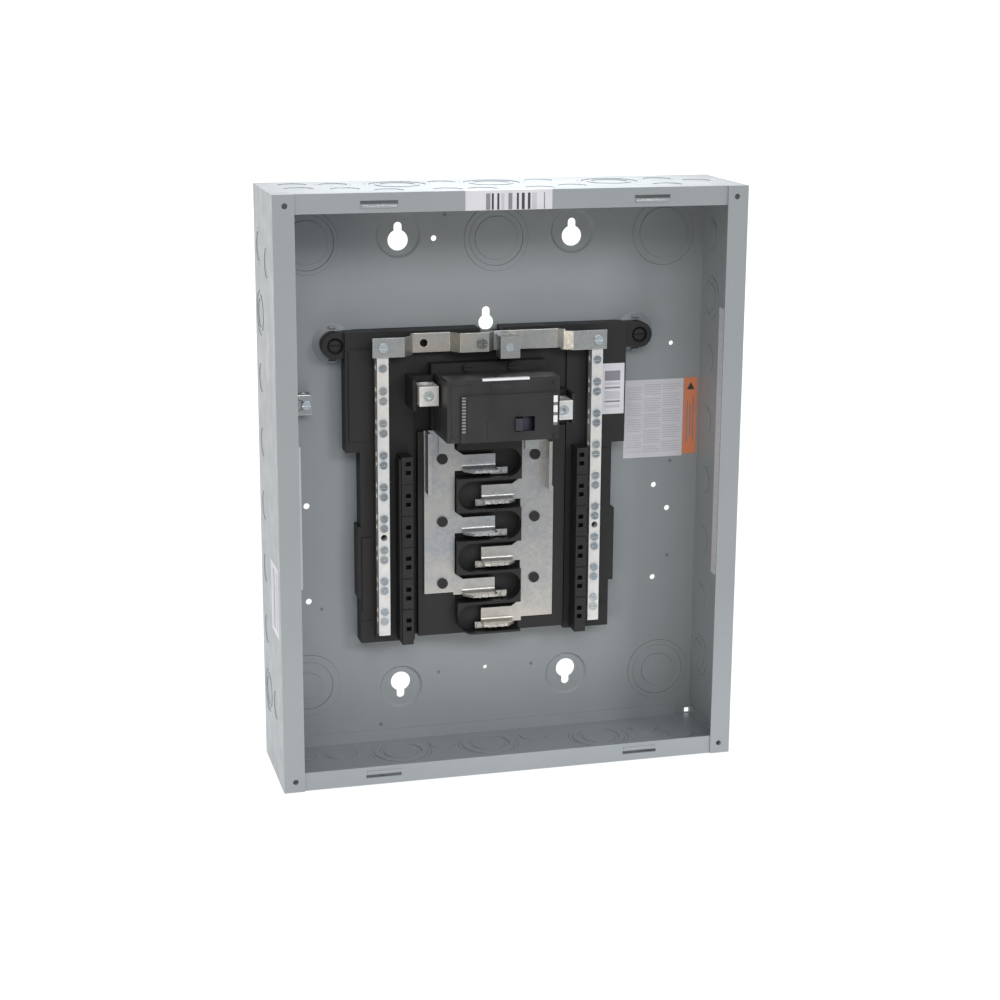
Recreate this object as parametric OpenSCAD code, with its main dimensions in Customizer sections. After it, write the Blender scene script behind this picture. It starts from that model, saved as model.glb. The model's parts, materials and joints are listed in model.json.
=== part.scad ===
// Residential load center: a steel enclosure, a moulded bus interior and a two-pole main breaker.
// Frame: X to the right, +Y towards the wall behind, +Z up.
// The origin is at the middle of the underside, half-way between the front flanges
// and the rear of the mounting dimples.

/* [Enclosure] */
// Width over the side walls
box_w = 362; // [360:1:380]
// Height over the end walls
box_h = 455; // [455:1:500]
// Depth from the front flanges to the outside of the back sheet
box_d = 92; // [92:1:110]
// Thickness of the enclosure sheet
sheet = 1.4; // [1.2:0.1:1.6]
// Width of the side front flanges
side_flange = 16; // [14:1:18]
// Height of the top and bottom front flanges
end_flange = 14.5; // [12:0.5:16]
// How far the mounting dimples stand proud of the back sheet
dimple_h = 2; // [1.5:0.1:2.5]
// Gap cut round each knockout
ko_slit = 0.35; // [0.25:0.05:0.5]

/* [Mounting holes] */
// Half of the distance between the left and right keyholes
key_x = 70; // [66:1:80]
// Height of the round entry of the lower keyholes
key_z_low = 50; // [48:1:60]
// Height of the round entry of the upper keyholes
key_z_high = 409; // [400:1:411]
// Radius of a keyhole's round entry
key_r = 8; // [7:0.5:9]
// Radius of a keyhole's narrow end
key_slot_r = 3.2; // [2.6:0.1:3.6]
// Inset of the cover screw holes from the enclosure's sides
cover_dx = 9; // [7:0.5:10]
// Inset of the cover screw holes from the enclosure's ends
cover_dz = 8.3; // [7:0.1:9]
// Radius of the cover screw holes
cover_r = 2.2; // [1.8:0.1:2.6]

/* [Bus interior] */
// Height of the uppermost stab
stab_z = 236; // [234:0.5:238]
// Distance between neighbouring stabs, one breaker space
pitch = 25.4; // [25:0.1:25.4]
// Front face of the bus bars
bus_y = 20; // [19.6:0.1:20.2]
// Thickness of the bus bars
bus_t = 2.4; // [2:0.1:2.5]
// Front face of the neutral bars
neutral_y = 15; // [14.5:0.1:15.2]
// Depth of the neutral bars
neutral_d = 9; // [8:0.5:9]
// Width of the neutral bars
neutral_w = 9; // [8:0.5:9.5]

/* [Main breaker] */
// Front face of the raised part of the breaker
brk_front = -30; // [-31:0.5:-29]
// Handle travel from off to on, in degrees
handle_throw = 32; // [24:1:34]
// Swing of the moving contact arms, in degrees
arm_swing = 16; // [12:1:16]
// Radius of the wire bore in the line lugs
lug_bore_r = 5.6; // [5:0.1:5.6]

/* [Hidden] */
$fn = 48;

paint = "slategray";
moulding = [0.16, 0.16, 0.17];
tin = [0.72, 0.74, 0.76];
zinc = [0.62, 0.68, 0.72];
paper = [0.9, 0.9, 0.93];

hw = box_w / 2;
yf = -(box_d + dimple_h) / 2;
yb = yf + box_d;
yi = yb - sheet;
xi = hw - sheet;
fit_gap = 0.1;
end_y = yf + sheet + fit_gap;
end_rear = yi - fit_gap;
keyholes = [[-key_x, key_z_low, -1], [key_x, key_z_low, -1],
            [-key_x, key_z_high, 1], [key_x, key_z_high, 1]];
slot_reach = 10.8;
dimple_r = 19;
pad_r = 16;
dimple_shift = 4;
boss_r = 18;
boss_top_r = 12;
boss_h = 2.4;
ear_x = 123;
ear_z = 330.8;
ear_r = 10.3;
ear_hole_r = 2.3;
small_holes = [[-42, 410, 2.2], [-145, 202, 2.4], [-144.5, 123.5, 2.4], [0.7, 57, 1.6], [154.8, 320.5, 1.8],
               [143, 203, 2.2], [155, 182.7, 2.2], [144, 124, 2.2]];
lug_hole_x = -151;
lug_hole_z = 285.5;

// Knockouts: [first position, second position, list of radii from the centre out].
half_inch = [11.1];
three_quarter = [11.1, 13.9];
one_inch = [11.1, 13.9, 17.2];
large = [13.9, 17.2, 21.8, 25];
back_kos = [[-142, 409, [17.2, 21.8, 25]], [8, 409, [17.2, 21.8, 26]], [146, 410, [20.2, 26]],
            [-146, 53, [11.1, 20, 26]], [150, 43, [14, 21.8, 26]]];
end_large_kos = [[-77, 14, large], [-4, 14, large], [88, 8, large]];
end_small_kos = [[-155, 24, half_inch], [-155, -6, half_inch], [-125, 20, three_quarter],
                 [-122, -14, half_inch], [-92, -28, half_inch], [-48, -30, half_inch],
                 [-40.5, 24, half_inch], [-22, -30, half_inch], [36, 24, half_inch],
                 [22, -30, half_inch], [50, -20, half_inch], [124, -24, half_inch],
                 [130, 18, three_quarter], [156, 0, half_inch]];
side_kos = [[22, 60, one_inch], [-14, 60, half_inch], [24, 110, half_inch], [24, 160, half_inch],
            [24, 210, half_inch], [24, 260, half_inch], [24, 310, half_inch], [22, 360, one_inch],
            [-14, 402, half_inch], [24, 410, three_quarter]];

// Interior base: [left, right, bottom, top] of each wing step.
wing_y = 27;
floor_y = 29;
base_t = 2.4;
base_top = 341.3;
shell_wall = 2.2;
wing_steps_left = [[-116, -62, 247, base_top], [-105, -62, 184.4, 249.4],
                   [-107.5, -62, 128.4, 186.8], [-105.6, -62, 91, 130.8]];
wing_steps_right = [[62, 111, 245, base_top], [62, 100.4, 188, 247.4],
                    [62, 103.7, 129.6, 190.4], [62, 99.9, 91, 132]];
rail_x = 71;
rail_w = 9;
rail_y = 10;
rail_z = [92.5, 245];
neutral_x = [-88.9, 83.5];
neutral_z = [100, 336];
terminal_pairs = 8;
terminal_z0 = 115.6;
terminal_step = 25.4;
terminal_half = 3.9;
// Heights of the branch screws: pairs one breaker space apart, and a single one under the strap.
terminal_pair_zs = [for (k = [0 : terminal_pairs - 1], s = [-1, 1])
                      terminal_z0 + k * terminal_step + s * terminal_half];
terminal_zs = concat(terminal_pair_zs, [terminal_z0 + terminal_pairs * terminal_step - terminal_half]);
bar_hole_z = 180.2;
support_z = [95, 262];
pocket_y = 26;
bus_back = bus_y + bus_t;
support_y = bus_back + 0.2;
left_bus_x = [-55.5, -31];
right_bus_x = [23, 50];
stab_left_end = 2;
stab_right_start = -9;
stab_h = 12.5;
stab_blade_t = 2;
stab_reach = 13;
stab_bend = 3;
stab_gusset = 5;
stab_ear_drop = 7.8;
stab_ear_x = [stab_left_end + 7, stab_right_start - 2];
rivet_rise = 4;
rivet_x = [-41, 34.5];
rivet_zs = [for (k = [0 : 2]) stab_z + rivet_rise - k * 2 * pitch];

// Main breaker.
brk_x = [-48.4, 40];
brk_z = [263, 309];
brk_face_x = [-38, 38.6];
brk_face_z = [263, 299];
brk_cover_top = 311.5;
brk_shoulder = -28;
case_back = 18;
case_front = -8;
brk_wall = 2;
pole_z = [274.9, 297];
pole_mid = 286;
handle_x = 12.2;
handle_y = -14;
handle_r = 11.6;
pin_r = 1.5;
pin_clear = 0.06;
arm_y = 2;
arm_len = 27;
arm_x = 0;
contact_y = 10.8;

// Line lugs: [left, right, bottom, top].
lug_y = [-8, 12];
lug_boxes = [[-65.3, -50.1, 288.4, 303.6], [41.7, 56.9, 272.6, 287.8]];
lug_bore_y = 5.4;
lug_platform_y = 14.4;
lug_screw_y = [lug_y[0] + 0.3, lug_y[0] + 5.4];
lug_pad_y = [lug_y[0] + 5.6, lug_y[0] + 7.4];
lug_screw_r = 4;
screw_clear = 0.08;
neutral_lug_x = [2, 17.5];
neutral_lug_z = [320.5, 337.5];
neutral_lug_y = [5, 19.8];
neutral_bore_r = 3.8;
neutral_screw_r = 3.2;
lug_mid_x = (neutral_lug_x[0] + neutral_lug_x[1]) / 2;
lug_mid_z = (neutral_lug_z[0] + neutral_lug_z[1]) / 2;
strap_z = [323.4, 338.6];
strap_rise = 1.3;
strap_t = 2;
strap_front = neutral_y - strap_t;
bond_x = -10.6;
bond_y = 13.8;
strap_path = [[-97, strap_front], [-72, strap_front], [-64, 22], [-34.5, 22], [-28, bond_y], [-5, bond_y],
              [0.5, 20], [52, 20], [56, 16.5], [63, strap_front], [90.5, strap_front]];
label_t = 0.2;

// ---------- Helpers ----------
module slab(x0, x1, y0, y1, z0, z1) { translate([x0, y0, z0]) cube([x1 - x0, y1 - y0, z1 - z0]); }
module rod_x(y, z, r, x0, x1) { translate([x0, y, z]) rotate([0, 90, 0]) cylinder(r = r, h = x1 - x0); }
module rod_y(x, z, r, y0, y1) { translate([x, y0, z]) rotate([-90, 0, 0]) cylinder(r = r, h = y1 - y0); }
module rod_z(x, y, r, z0, z1) { translate([x, y, z0]) cylinder(r = r, h = z1 - z0); }
module cone_y(x, z, r0, r1, y0, y1) {
  translate([x, y0, z]) rotate([-90, 0, 0]) cylinder(r1 = r0, r2 = r1, h = y1 - y0);
}
module both_sides() { children(); mirror([1, 0, 0]) children(); }

// A wall's own frame: first and second position in the wall's plane, third into the enclosure.
module on_back() { translate([0, yb, 0]) rotate([90, 0, 0]) children(); }
module on_top() { translate([0, 0, box_h]) mirror([0, 0, 1]) children(); }
module on_bottom() { children(); }
module on_left() { translate([-hw, 0, 0]) rotate([90, 0, 90]) children(); }
module on_right() { mirror([1, 0, 0]) on_left() children(); }

module ko_holes(list)
  for (k = list) translate([k[0], k[1], -1]) cylinder(r = k[2][len(k[2]) - 1], h = sheet + 2);

module ko_disc(r_out, r_in, step)
  translate([0, 0, step]) difference() {
    cylinder(r = r_out, h = sheet);
    if (r_in > 0) translate([0, 0, -1]) cylinder(r = r_in, h = sheet + 2);
  }

module ko_set(list)
  for (k = list) translate([k[0], k[1], 0])
    for (i = [0 : len(k[2]) - 1])
      ko_disc(k[2][i] - ko_slit, i == 0 ? 0 : k[2][i - 1], i % 2 == 0 ? 0.5 : 0);

// A machine screw seen from the front: a head with a slot, and a shank behind it.
module front_screw(x, z, y_head, head_r, head_h, shank_r, y_end)
  difference() {
    union() {
      rod_y(x, z, head_r, y_head, y_head + head_h);
      rod_y(x, z, shank_r, y_head + head_h - 0.2, y_end);
    }
    slab(x - head_r, x + head_r, y_head - 1, y_head + head_h * 0.5, z - head_r * 0.16, z + head_r * 0.16);
  }

// ---------- Enclosure ----------
module mounting_dimple(k, shift)
  cone_y(k[0], k[1] + k[2] * dimple_shift, dimple_r, pad_r, yi + shift, yb + dimple_h + shift);

module ear_boss(s, shift)
  cone_y(s * ear_x, ear_z, boss_top_r, boss_r, yi - boss_h + shift, yb + shift);

module keyhole(k) {
  rod_y(k[0], k[1], key_r, yi - 2, yb + dimple_h + 2);
  rod_y(k[0], k[1] + k[2] * slot_reach, key_slot_r, yi - 2, yb + dimple_h + 2);
  slab(k[0] - key_slot_r, k[0] + key_slot_r, yi - 2, yb + dimple_h + 2,
       min(k[1], k[1] + k[2] * slot_reach), max(k[1], k[1] + k[2] * slot_reach));
}

module enclosure_wrap() color(paint)
  difference() {
    union() {
      slab(-hw, hw, yi, yb, 0, box_h);
      both_sides() slab(xi, hw, yf, yb, 0, box_h);
      both_sides() slab(hw - side_flange, hw, yf, yf + sheet, 0, box_h);
      for (k = keyholes) mounting_dimple(k, 0);
      for (s = [-1, 1]) ear_boss(s, 0);
      // Bent tabs that steady each ear of the moulded base.
      for (s = [-1, 1], dz = [-13.6, 13.2])
        slab(s * ear_x - 3, s * ear_x + 3, yi - 4.5, yi + 0.1, ear_z + dz - 0.7, ear_z + dz + 0.7);
    }
    for (k = keyholes) mounting_dimple(k, -sheet);
    for (k = keyholes) keyhole(k);
    for (s = [-1, 1]) ear_boss(s, sheet);
    for (s = [-1, 1]) rod_y(s * ear_x, ear_z, ear_hole_r, yi - 5, yb);
    rod_y(0, 343, 6, yi - 2, yb + 2);
    rod_y(0, 352.3, key_slot_r, yi - 2, yb + 2);
    slab(-key_slot_r, key_slot_r, yi - 2, yb + 2, 343, 352.3);
    for (h = small_holes) rod_y(h[0], h[1], h[2], yi - 2, yb + 2);
    rod_y(lug_hole_x, lug_hole_z, 2.2, yi - 2, yb + 2);
    for (s = [-1, 1], z = [cover_dz, box_h - cover_dz])
      rod_y(s * (hw - cover_dx), z, cover_r, yf - 1, yf + sheet + 1);
    on_back() ko_holes(back_kos);
    on_left() ko_holes(side_kos);
    on_right() ko_holes(side_kos);
    slab(xi - 4, xi + 0.01, yi - 0.01, yb + 1, 2, 6);
  }

// One end wall, drawn as the bottom one: a plate with a front flange, a rear flange and side tabs.
module end_wall(kos) {
  x = xi - fit_gap;
  difference() {
    union() {
      slab(-x, x, end_y, end_rear, 0, sheet);
      slab(-x, x, end_y, end_y + sheet, 0, end_flange);
      slab(-x + 12, x - 12, end_rear - sheet, end_rear, 0, 10);
      both_sides() slab(x - sheet, x, end_y + 6, end_rear - 6, 0, 10);
      for (cx = [-103, 105]) rod_x(end_y + 0.3, 10.2, 1.5, cx - 13, cx + 13);
    }
    ko_holes(kos);
    for (cx = [-103, 105]) slab(cx - 14, cx + 14, end_y - 2, end_y + sheet + 1.5, 5.6, 8.2);
    for (s = [-1, 1]) rod_y(s * (hw - cover_dx), cover_dz, cover_r, end_y - 1, end_y + sheet + 1);
  }
}

module top_end_wall() color(paint) on_top() end_wall(concat(end_large_kos, end_small_kos));
module bottom_end_wall() color(paint) end_wall(concat(end_large_kos, end_small_kos));
module top_knockouts() color(paint) on_top() ko_set(concat(end_large_kos, end_small_kos));
module bottom_knockouts() color(paint) on_bottom() ko_set(concat(end_large_kos, end_small_kos));
module left_knockouts() color(paint) on_left() ko_set(side_kos);
module right_knockouts() color(paint) on_right() ko_set(side_kos);
module back_knockouts() color(paint) on_back() ko_set(back_kos);

module ground_lug() color(tin)
  difference() {
    slab(-158.5, -141.5, 32, yi, 277.5, 293.5);
    rod_z(-146, 38, 3, 277, 294);
    rod_y(-146, 285.5, 2.58, 31, 38);
    rod_y(lug_hole_x - 3, lug_hole_z, 1.6, 31, yi + 1);
  }

module ground_lug_screw() color(zinc) front_screw(-146, 285.5, 29.4, 3.4, 2.2, 2.5, 34.5);

// ---------- Moulded interior ----------
module wing_shells(steps)
  for (w = steps) difference() {
    slab(w[0], w[1], wing_y, yi - 0.2, w[2], w[3]);
    slab(w[0] + shell_wall, w[1] - shell_wall, wing_y + base_t, yi + 1, w[2] + shell_wall, w[3] - shell_wall);
  }

module interior_base() color(moulding)
  difference() {
    union() {
      wing_shells(wing_steps_left);
      wing_shells(wing_steps_right);
      // The floor between the wings, and the beam that carries the cross strap.
      slab(-62.5, 62.5, floor_y, floor_y + base_t, 95, base_top);
      slab(-64, 64, floor_y, yi - 0.2, 334.5, base_top);
      slab(-116, 110, wing_y, floor_y + 0.1, 335.5, base_top);
      // Ears with screw bosses.
      for (s = [-1, 1]) rod_y(s * ear_x, ear_z, ear_r, 29.5, yi - boss_h - 0.1);
      both_sides() slab(105, ear_x, 29.5, 38, ear_z + 4.5, base_top);
      slab(-ear_x, -112, 29.5, 38, ear_z - 9.5, base_top);
      slab(108, ear_x, 29.5, 38, ear_z - 9.5, base_top);
      // Ledges under the neutral bars.
      for (x = neutral_x)
        slab(x - neutral_w / 2 - 1, x + neutral_w / 2 + 1,
             neutral_y + neutral_d + 0.05, wing_y + 0.1, 96, 334);
      // Raised panels on the wings.
      slab(-113.5, -97, wing_y - 1.2, wing_y + 0.1, 256, 328);
      slab(-104.5, -97, wing_y - 1.2, wing_y + 0.1, 118, 178);
      slab(92, 98.5, wing_y - 1.2, wing_y + 0.1, 196, 240);
    }
    for (s = [-1, 1]) rod_y(s * ear_x, ear_z, ear_hole_r + 0.1, 20, yi);
    for (s = [-1, 1]) rod_y(s * ear_x, ear_z, 6.4, 20, 34);
    // Room for the bosses of the back sheet behind the ears.
    for (s = [-1, 1]) rod_y(s * ear_x, ear_z, boss_r + 0.6, yi - boss_h - 0.1, yi + 1);
    // Notch for the central keyhole.
    slab(-9, 9, wing_y - 3, yi + 1, 337.5, base_top + 1);
    rod_y(bond_x, strap_z[0] + 8, 2.5, floor_y - 1, yi + 1);
    // Grooves across the foot of the wings.
    slab(-106, -94.5, wing_y - 1, wing_y + 0.6, 109.4, 110.2);
    slab(89, 100, wing_y - 1, wing_y + 0.6, 110.4, 111.2);
  }

module breaker_rail(s) color(moulding)
  difference() {
    x = s * rail_x;
    union() {
      slab(x - rail_w / 2, x + rail_w / 2, rail_y, wing_y - 0.1, rail_z[0], rail_z[1]);
      // Fence along the side of the neutral bar.
      slab(x + s * 5.2 - 0.8, x + s * 5.2 + 0.8, rail_y + 3, wing_y - 0.1, rail_z[0] + 3, rail_z[1] - 2);
    }
    // Two hook notches for each breaker space, open towards the stabs.
    for (k = [0 : 5], dz = [-3.5, 3.5])
      slab(x - s * 0.6 - 2, x - s * 0.6 + 2, rail_y - 1, rail_y + 6,
           stab_z - k * pitch + dz - 1.7, stab_z - k * pitch + dz + 1.7);
    // Clearance slots between the spaces.
    for (k = [0 : 5])
      slab(x - rail_w, x + rail_w, rail_y - 1, rail_y + 1.2,
           stab_z + 12 - k * pitch, stab_z + 13.4 - k * pitch);
  }

// The rounded pocket round stab k: open towards the bus that the stab comes from.
module stab_pocket(k, r, y0, y1) {
  z = stab_z - k * pitch;
  from_left = k % 2 == 0;
  x_far = from_left ? right_bus_x[0] - 1 - r : left_bus_x[1] + 1 + r;
  rod_y(x_far, z, r, y0, y1);
  slab(from_left ? left_bus_x[1] + 1 : x_far, from_left ? x_far : right_bus_x[0] - 1, y0, y1, z - r, z + r);
}

module bus_support() color(moulding)
  difference() {
    union() {
      slab(-60, 60, support_y, floor_y - 0.1, support_z[0], support_z[1]);
      // Raised deck between the bus bars, round at its foot.
      slab(left_bus_x[1] + 1, right_bus_x[0] - 1, 13, support_y + 0.1, stab_z - 5 * pitch, support_z[1] - 1);
      stab_pocket(5, pitch / 2 + 0.6, 13, support_y + 0.1);
      // Tray under the main breaker.
      slab(-50, 42, case_back + 0.2, floor_y - 0.1, 263.5, 316);
      slab(-50, 42, floor_y - 3, floor_y - 0.1, support_z[1] - 0.1, 263.6);
      // Platforms under the line lugs.
      slab(-69, -49.9, lug_platform_y, wing_y - 0.1, 284, 308);
      slab(41.9, 60.4, lug_platform_y, wing_y - 0.1, 268, 292);
    }
    for (k = [0 : 5]) stab_pocket(k, pitch / 2 - 1.1, 12, pocket_y);
    for (x = rivet_x, z = rivet_zs) rod_y(x, z, 2.2, support_y - 1, floor_y + 1);
    // Room for the load straps.
    slab(-46.5, -29.5, case_back - 1, 24.3, 258, 282);
    slab(24.5, 41.5, case_back - 1, 24.3, 248, 304);
    for (x = [-22, 14]) rod_y(x, 312.5, 1.7, case_back - 1, floor_y);
  }

// ---------- Bus bars ----------
// One stab finger: a foot plate that bends forward into a blade with a scalloped front edge.
module stab(k) {
  z = stab_z - k * pitch;
  from_left = k % 2 == 0;
  x0 = from_left ? left_bus_x[1] - 1 : stab_right_start;
  x1 = from_left ? stab_left_end : right_bus_x[0] + 1;
  tip0 = from_left ? x0 + 7 : x0;
  tip1 = from_left ? x1 : x1 - 7;
  root = from_left ? left_bus_x[1] : right_bus_x[0];
  root_tip = from_left ? tip0 : tip1;
  free_tip = from_left ? tip1 : tip0;
  s = from_left ? 1 : -1;
  blade_z = z - stab_h / 2;
  foot_top = z + stab_h / 2;
  slab(x0, x1, bus_y, bus_back, blade_z, foot_top);
  translate([0, bus_back, 0]) rotate([90, 0, 0]) linear_extrude(bus_t)
    polygon([[root - s, foot_top - 1], [root - s, foot_top + stab_gusset], [root, foot_top + stab_gusset],
             [root + s * 7, foot_top], [root + s * 7, foot_top - 1]]);
  difference() {
    translate([0, 0, blade_z]) linear_extrude(stab_blade_t)
      polygon([[root_tip, bus_back], [root_tip, bus_y - 5], [root_tip + s * 7, bus_y - stab_reach],
               [free_tip - s * 4, bus_y - stab_reach], [free_tip, bus_y - stab_reach + 2],
               [free_tip, bus_back]]);
    for (i = [0 : 2])
      rod_z(root_tip + s * (9 + i * 5.5), bus_y - stab_reach - 1, 2, blade_z - 1, blade_z + stab_blade_t + 1);
  }
  // Round inner side of the bend.
  bend_z = blade_z + stab_blade_t + stab_bend;
  difference() {
    slab(tip0, tip1, bus_y - stab_bend, bus_y + 0.1, bend_z - stab_bend - 0.1, bend_z);
    rod_x(bus_y - stab_bend, bend_z, stab_bend, tip0 - 1, tip1 + 1);
  }
  // Ear that takes the stab rivet.
  ear = stab_ear_x[k % 2];
  ear_mid = z - stab_ear_drop;
  slab(min(ear - 3, x1 - 4), max(ear + 3, x0 + 4), bus_y, bus_back, ear_mid - 2.6, ear_mid + 2.6);
}

module left_bus_bar() color(tin)
  difference() {
    union() {
      slab(left_bus_x[0], left_bus_x[1], bus_y, bus_back, 130.5, 252);
      slab(left_bus_x[0], -43, bus_y, bus_back, 251, 263.2);
      slab(left_bus_x[0] + 0.5, left_bus_x[0] + 0.5 + bus_t, 8, bus_back, 214.5, 263.2);
      for (k = [0, 2, 4]) stab(k);
    }
    for (z = rivet_zs) rod_y(rivet_x[0], z, 2.2, bus_y - 1, bus_back + 1);
    for (k = [0, 2, 4])
      rod_y(stab_ear_x[0], stab_z - k * pitch - stab_ear_drop, 1.05, bus_y - 1, bus_back + 1);
  }

module right_bus_bar() color(tin)
  difference() {
    union() {
      slab(right_bus_x[0], right_bus_x[1], bus_y, bus_back, 106, 213);
      slab(right_bus_x[0], 43 + bus_t, bus_y, bus_back, 212, 252);
      slab(43, 43 + bus_t, 8, bus_back, 213, 252);
      for (k = [1, 3, 5]) stab(k);
    }
    for (z = rivet_zs) rod_y(rivet_x[1], z, 2.2, bus_y - 1, bus_back + 1);
    for (k = [1, 3, 5])
      rod_y(stab_ear_x[1], stab_z - k * pitch - stab_ear_drop, 1.05, bus_y - 1, bus_back + 1);
  }

module bus_rivets() color([0.1, 0.1, 0.11])
  for (x = rivet_x, z = rivet_zs) {
    rod_y(x, z, 4.2, bus_y - 1.5, bus_y);
    rod_y(x, z, 2.1, bus_y - 0.5, floor_y - 0.2);
  }

module stab_rivets() color(tin)
  for (k = [0 : 5]) {
    x = stab_ear_x[k % 2];
    z = stab_z - k * pitch - stab_ear_drop;
    rod_y(x, z, 2, bus_y - 1.6, bus_y);
    rod_y(x, z, 1, bus_y - 0.5, bus_back + 1);
  }

// ---------- Neutral ----------
module neutral_bar(x) color([0.82, 0.83, 0.82])
  difference() {
    slab(x - neutral_w / 2, x + neutral_w / 2, neutral_y, neutral_y + neutral_d, neutral_z[0], neutral_z[1]);
    for (z = terminal_zs) {
      rod_x(neutral_y + 5.6, z, 2.5, x - 10, x + 10);
      rod_y(x, z, 2.3, neutral_y - 1, neutral_y + 5);
    }
    rod_y(x, bar_hole_z, 2.6, neutral_y - 1, neutral_y + neutral_d + 1);
    rod_y(x, strap_z[0] + 7.5, 2.3, neutral_y - 1, neutral_y + 8);
  }

module terminal_screws(x) color(zinc)
  for (z = terminal_zs) front_screw(x, z, neutral_y - 1.4, 3.1, 1.4, 2.2, neutral_y + 3.4);

module neutral_cross_strap() color(tin)
  difference() {
    translate([0, 0, strap_z[0]]) linear_extrude(strap_z[1] - strap_z[0] + strap_rise)
      polygon(concat(strap_path, [for (i = [len(strap_path) - 1 : -1 : 0]) strap_path[i] + [0, strap_t]]));
    // The middle of the strap sits a little higher than its ends.
    slab(-98, -66, 5, 30, strap_z[1], strap_z[1] + strap_rise + 1);
    slab(57, 92, 5, 30, strap_z[1], strap_z[1] + strap_rise + 1);
    slab(-64, 54, 5, 30, strap_z[0] - 1, strap_z[0] + strap_rise);
    for (x = neutral_x) rod_y(x, strap_z[0] + 7.5, 2.4, 5, 30);
    rod_y(-55, strap_z[0] + 8.6, 3.1, 5, 30);
    rod_y(bond_x, strap_z[0] + 8, 2.4, 5, 30);
    rod_y(lug_mid_x, strap_z[0] + 7, 1.9, 5, 30);
  }

module strap_screws() color(zinc)
  for (x = neutral_x)
    front_screw(x, strap_z[0] + 7.5, neutral_y - strap_t - 1.6, 3.6, 1.6, 2.2, neutral_y + 7);

module bonding_screw() color(zinc)
  difference() {
    front_screw(bond_x, strap_z[0] + 8, bond_y - 2.6, 4, 2.6, 2.2, yi - 0.2);
    slab(bond_x - 0.6, bond_x + 0.6, bond_y - 4.5, bond_y - 1.3, strap_z[0] + 3, strap_z[0] + 13);
  }

module neutral_lug() color(tin)
  difference() {
    union() {
      slab(neutral_lug_x[0], neutral_lug_x[1], neutral_lug_y[0], neutral_lug_y[1],
           neutral_lug_z[0], neutral_lug_z[1]);
      rod_y(lug_mid_x, strap_z[0] + 7, 1.8, neutral_lug_y[1] - 0.5, 23);
    }
    rod_z(lug_mid_x, 14.8, neutral_bore_r, neutral_lug_z[0] - 1, neutral_lug_z[1] + 1);
    rod_y(lug_mid_x, lug_mid_z, neutral_screw_r + screw_clear, neutral_lug_y[0] - 1, 14.8);
  }

module neutral_lug_pad() color(zinc) rod_y(lug_mid_x, lug_mid_z, neutral_screw_r - 0.3, 9.6, 10.8);
module neutral_lug_screw() color(zinc)
  front_screw(lug_mid_x, lug_mid_z, neutral_lug_y[0] + 0.2, neutral_screw_r, 4.1, 2.4, 9.4);

module interior_mounting_screws() color(zinc)
  for (s = [-1, 1]) front_screw(s * ear_x, ear_z, 31.4, 4.4, 2.5, 2.2, yi + 3);

// ---------- Main breaker ----------
module breaker_case() color(moulding)
  difference() {
    slab(brk_x[0], brk_x[1], case_front, case_back, brk_z[0], brk_z[1]);
    for (p = [[brk_z[0] + brk_wall, pole_mid - 1], [pole_mid + 1, brk_z[1] - brk_wall]])
      slab(brk_x[0] + brk_wall, brk_x[1] - brk_wall, case_front - 1, case_back - brk_wall, p[0], p[1]);
    // Seats for the contact arm pin.
    rod_z(arm_x, arm_y, pin_r + 0.02, brk_z[0] - 1, brk_z[1] + 1);
    // Ways out for the line terminals.
    slab(brk_x[0] - 1, brk_x[0] + 3, lug_y[1] - 0.6, lug_y[1] + 2.6, 290.4, 302.6);
    slab(brk_x[1] - 3, brk_x[1] + 1, lug_y[1] - 0.6, lug_y[1] + 2.6, 272.9, 284.1);
    // Ways out for the load straps.
    slab(-46.2, -29.8, case_back - 3, case_back + 1, 266, 281);
    slab(24.8, 38.1, case_back - 3, case_back + 1, 288, 303);
    for (x = [-44.5, 36.5], z = [265.4, 306.6]) rod_y(x, z, 1.1, case_front - 1, case_back + 1);
  }

module breaker_cover() color([0.2, 0.2, 0.21])
  difference() {
    union() {
      slab(brk_x[0], brk_x[1], brk_shoulder, case_front - 0.1, brk_z[0], brk_cover_top);
      slab(brk_face_x[0], brk_face_x[1], brk_front, brk_shoulder + 0.1, brk_face_z[0], brk_face_z[1]);
      slab(-14.4, 2.6, brk_shoulder - 0.8, brk_shoulder + 0.1, 303.2, 307.6);
    }
    for (p = [[brk_z[0] + brk_wall, pole_mid - 1], [pole_mid + 1, brk_z[1] - brk_wall]])
      slab(brk_x[0] + brk_wall, brk_x[1] - brk_wall, brk_shoulder + brk_wall, case_front + 1, p[0], p[1]);
    // Handle window.
    slab(4.4, 20, brk_front - 1, brk_shoulder + 3, 270.2, 281.8);
    rod_z(handle_x, handle_y, pin_r + 0.02, brk_z[0] - 1, pole_mid + 2);
    for (x = [-44.5, 36.5], z = [265.4, 306.6]) rod_y(x, z, 1.1, brk_front - 1, case_front + 1);
    // Shallow panel lines on the face.
    slab(-36, 1, brk_front - 1, brk_front + 0.4, 281.2, 281.8);
    slab(-18, -17.4, brk_front - 1, brk_front + 0.4, 264, 281.5);
    slab(-33, 33, brk_front - 1, brk_front + 0.4, 296.4, 297);
    slab(-33.6, -33, brk_front - 1, brk_front + 0.4, 264, 297);
  }

// The handle: a drum section behind the window and a finger nub, turned to the off end of its travel.
module breaker_handle() color([0.24, 0.24, 0.27])
  translate([handle_x, handle_y, 0]) rotate([0, 0, -handle_throw / 2]) difference() {
    union() {
      intersection() {
        translate([0, 0, 268]) cylinder(r = handle_r, h = 16);
        slab(-10.5, 10.5, -handle_r - 1, -2, 267, 285);
      }
      translate([0, 0, 266.5]) cylinder(r = 4, h = 18);
      slab(-2.8, 2.8, -19.6, -handle_r + 1, 271.4, 280.6);
    }
    translate([0, 0, 260]) cylinder(r = pin_r + pin_clear, h = 30);
  }

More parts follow.
